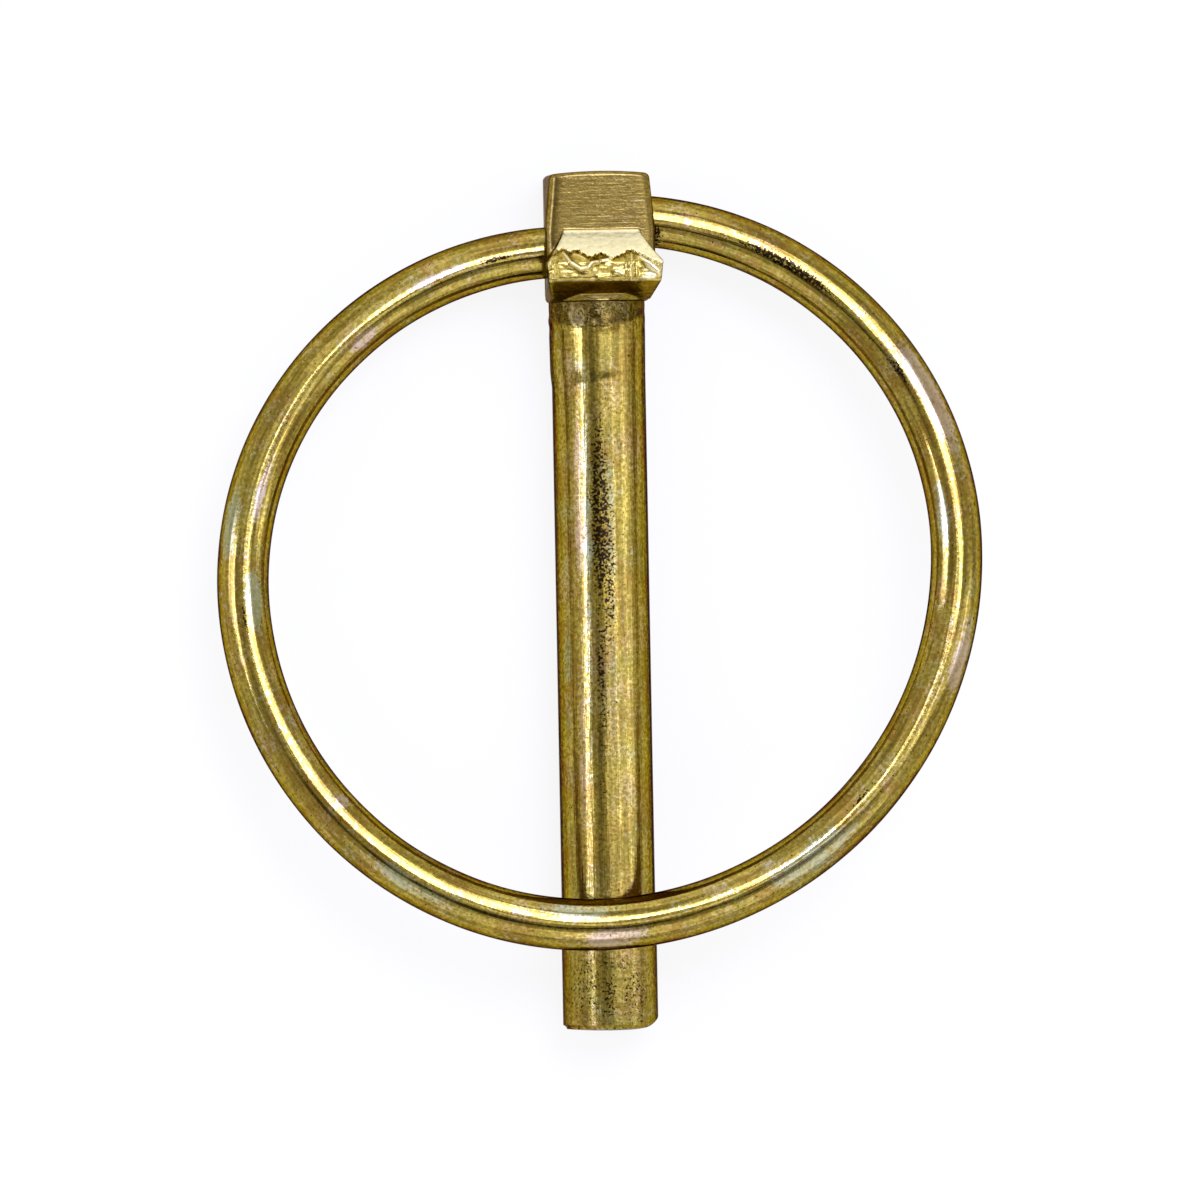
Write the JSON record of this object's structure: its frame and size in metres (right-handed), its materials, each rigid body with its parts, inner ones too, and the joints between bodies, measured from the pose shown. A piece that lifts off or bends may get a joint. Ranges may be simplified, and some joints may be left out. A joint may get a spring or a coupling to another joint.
{
  "type": "lynch pin",
  "caption": "Forged retaining pin with a nosed head and a round-wire snap ring that swings down over the stem to lock the pin in a cross hole.",
  "frame": {"origin": "on the stem's axis, halfway along the gripped length between the head's underside and the closed ring", "axes": "+Y along the stem towards the head, +Z towards the side on which the ring closes, +X to the right seen from that side; the back of the head lies flat at -Z"},
  "size_m": [0.0514, 0.0577, 0.0102],
  "materials": {
    "plated_pin": "forged steel, zinc plated and yellow chromated",
    "plated_wire": "drawn spring wire, zinc plated and yellow chromated"
  },
  "bodies": {
    "pin": {"forged_pin": "plated_pin"},
    "ring": {"snap_ring": "plated_wire"}
  },
  "joints": [
    {"name": "ring_hinge", "type": "hinge", "parent": "pin", "child": "ring", "pos_m": [0, 0.0253, 0.0002], "axis": [-0.9476, -0.3195, 0], "range_deg": [0, 170]}
  ]
}
